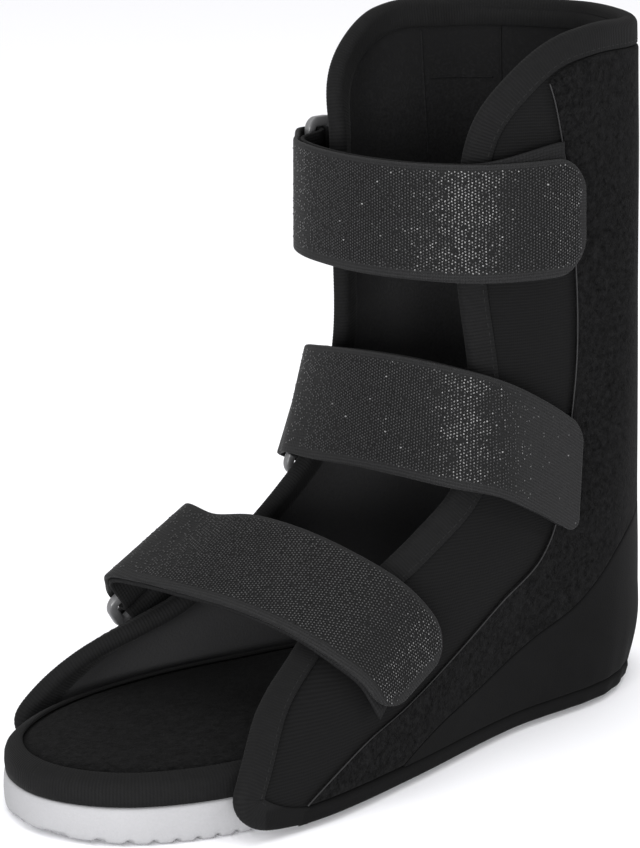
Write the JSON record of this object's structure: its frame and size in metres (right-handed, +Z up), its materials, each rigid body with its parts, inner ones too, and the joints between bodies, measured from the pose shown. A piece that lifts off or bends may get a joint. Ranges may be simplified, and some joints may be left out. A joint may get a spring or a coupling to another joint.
{
  "type": "open-front padded post-operative walking boot",
  "caption": "Soft padded post-operative boot with an open front and toe, a flat foam sole and doubled hook straps that turn back through rings.",
  "frame": {"origin": "on the floor under the ankle, on the smooth shank of the sole, midway between the sides", "axes": "+X to the toes, +Y to the wearer's left, where the straps are sewn and their tips lie, +Z up"},
  "size_m": [0.3323, 0.1485, 0.2931],
  "materials": {
    "sole_foam": "matt light grey foam with a faint skin",
    "velour": "black brushed loop velour",
    "binding_tape": "black ribbed tape, stitched along its inner border",
    "padded_fabric": "black woven fabric over padding",
    "cover_fabric": "black smooth knitted fabric",
    "hook_webbing": "black hook webbing with rows of glinting hooks and plain borders",
    "ring_plastic": "dark moulded plastic"
  },
  "bodies": {
    "root": {"outsole": "sole_foam", "footbed": "velour", "footbed_binding": "binding_tape", "padded_upper": "padded_fabric", "edge_binding": "binding_tape", "velour_panel": "velour", "heel_cover": "cover_fabric", "hem_band": "cover_fabric", "strap_top": "hook_webbing", "strap_middle": "hook_webbing", "strap_lower": "hook_webbing", "ring_tab_top": "hook_webbing", "ring_tab_middle": "hook_webbing", "ring_tab_lower": "hook_webbing", "ring_top": "ring_plastic", "ring_middle": "ring_plastic", "ring_lower": "ring_plastic"}
  },
  "joints": []
}
